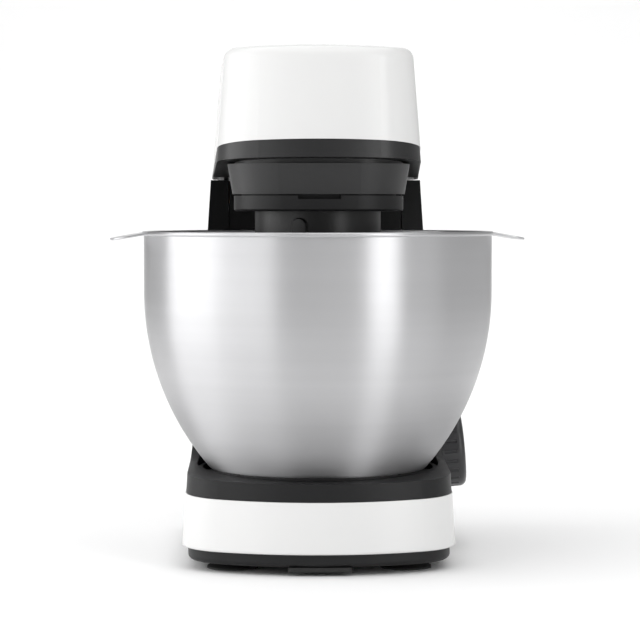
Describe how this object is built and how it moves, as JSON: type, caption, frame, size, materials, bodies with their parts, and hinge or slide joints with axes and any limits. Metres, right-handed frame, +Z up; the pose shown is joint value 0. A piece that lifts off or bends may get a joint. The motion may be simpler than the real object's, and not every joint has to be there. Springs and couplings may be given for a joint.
{
  "type": "stand mixer",
  "caption": "Compact tilt-head stand mixer with steel bowl, planetary whisk, speed knob and suction feet.",
  "frame": {"origin": "on the supporting surface, under the middle of the whole mixer's footprint box", "axes": "+Z up, the front with the bowl faces -Y, +X is the knob's side (right, seen from the front)"},
  "size_m": [0.2506, 0.282, 0.3092],
  "materials": {
    "white_shell": "smooth gloss white",
    "black_case": "fine matte black",
    "dark_grey_case": "satin dark grey",
    "bowl_steel": "polished with fine round brushing",
    "steel": "plain steel",
    "chrome_wire": "polished",
    "cast_alloy": "as cast",
    "rubber": "soft matte",
    "bronze": "sintered",
    "gear_nylon": "natural",
    "copper": "enamelled wire",
    "board": "coated",
    "knob_plastic": "satin dark grey",
    "pointer": "white",
    "carbon": "carbon"
  },
  "bodies": {
    "base": {"suction_feet": "rubber", "bottom_pan": "black_case", "front_pad": "rubber", "base_shell": "white_shell", "cord_gland": "black_case", "column_shell": "black_case", "column_back": "black_case", "hinge_barrel": "black_case", "hinge_bracket": "steel", "hinge_pin": "steel", "pin_clips": "steel", "bowl_seat_ring": "black_case", "latch_guide": "black_case", "latch_spring": "steel", "rotary_switch": "black_case", "knob_bezel": "knob_plastic", "control_board": "board", "case_screws": "steel", "bracket_screws": "steel"},
    "knob": {"speed_knob": "knob_plastic", "knob_pointer": "pointer", "switch_shaft": "steel"},
    "button": {"release_button": "knob_plastic"},
    "latch": {"latch_pawl": "black_case"},
    "bowl": {"bowl": "bowl_steel", "bowl_foot": "bowl_steel"},
    "head": {"head_shell": "white_shell", "head_lower": "dark_grey_case", "gear_cover": "black_case", "ring_gear": "cast_alloy", "gear_plate": "cast_alloy", "main_bearings": "steel", "idler_bushes": "bronze", "chassis_plate": "cast_alloy", "motor_top_bracket": "cast_alloy", "motor_bearings": "steel", "motor_stator": "steel", "motor_windings": "copper", "motor_brushes": "carbon", "drive_belt": "rubber", "hinge_arm_left": "steel", "hinge_arm_right": "steel", "arm_bushes": "bronze", "arm_screws": "steel"},
    "carrier": {"planet_carrier": "dark_grey_case", "main_shaft": "steel", "drive_gear": "gear_nylon"},
    "spindle": {"tool_spindle": "steel", "planet_gear": "steel", "tool_cross_pin": "steel", "whisk_hub": "dark_grey_case", "whisk_wires": "chrome_wire"},
    "idler": {"idler_shaft": "steel", "idler_pinion": "steel", "idler_pulley": "gear_nylon"},
    "motor": {"motor_shaft": "steel", "motor_rotor": "steel", "commutator": "bronze", "motor_fan": "gear_nylon", "motor_pulley": "steel"}
  },
  "joints": [
    {"name": "head_tilt", "type": "hinge", "parent": "base", "child": "head", "pos_m": [0, 0.09285, 0.222], "axis": [-1, 0, 0], "range_deg": [0, 45]},
    {"name": "carrier_spin", "type": "hinge", "parent": "head", "child": "carrier", "pos_m": [0, -0.03515, 0.212], "axis": [0, 0, 1], "continuous": true},
    {"name": "spindle_spin", "type": "hinge", "parent": "carrier", "child": "spindle", "pos_m": [0, -0.01265, 0.2], "axis": [0, 0, 1], "continuous": true},
    {"name": "idler_spin", "type": "hinge", "parent": "head", "child": "idler", "pos_m": [-0.03297, -0.01835, 0.25], "axis": [0, 0, 1], "continuous": true},
    {"name": "motor_spin", "type": "hinge", "parent": "head", "child": "motor", "pos_m": [0, 0.02085, 0.28], "axis": [0, 0, 1], "continuous": true},
    {"name": "bowl_turn", "type": "hinge", "parent": "base", "child": "bowl", "pos_m": [0, -0.03515, 0.053], "axis": [0, 0, 1], "range_deg": [-30, 0]},
    {"name": "speed_turn", "type": "hinge", "parent": "base", "child": "knob", "pos_m": [0.07792, 0.03685, 0.0585], "axis": [0.9962, 0, 0.0872], "range_deg": [-40, 160]},
    {"name": "button_press", "type": "slide", "parent": "base", "child": "button", "axis": [-1, 0, 0], "range_m": [0, 0.005], "stiffness_N_per_m": 400, "springref_m": -0.002},
    {"name": "latch_drop", "type": "slide", "parent": "base", "child": "latch", "axis": [0, 0, -1], "range_m": [0, 0.005], "deforming": ["latch_spring"]}
  ],
  "couplings": [
    {"joint": "spindle_spin", "follows": "carrier_spin", "ratio": -2.6667},
    {"joint": "idler_spin", "follows": "carrier_spin", "ratio": -4.2857},
    {"joint": "motor_spin", "follows": "carrier_spin", "ratio": -10.714},
    {"joint": "latch_drop", "follows": "button_press", "ratio": 1}
  ]
}
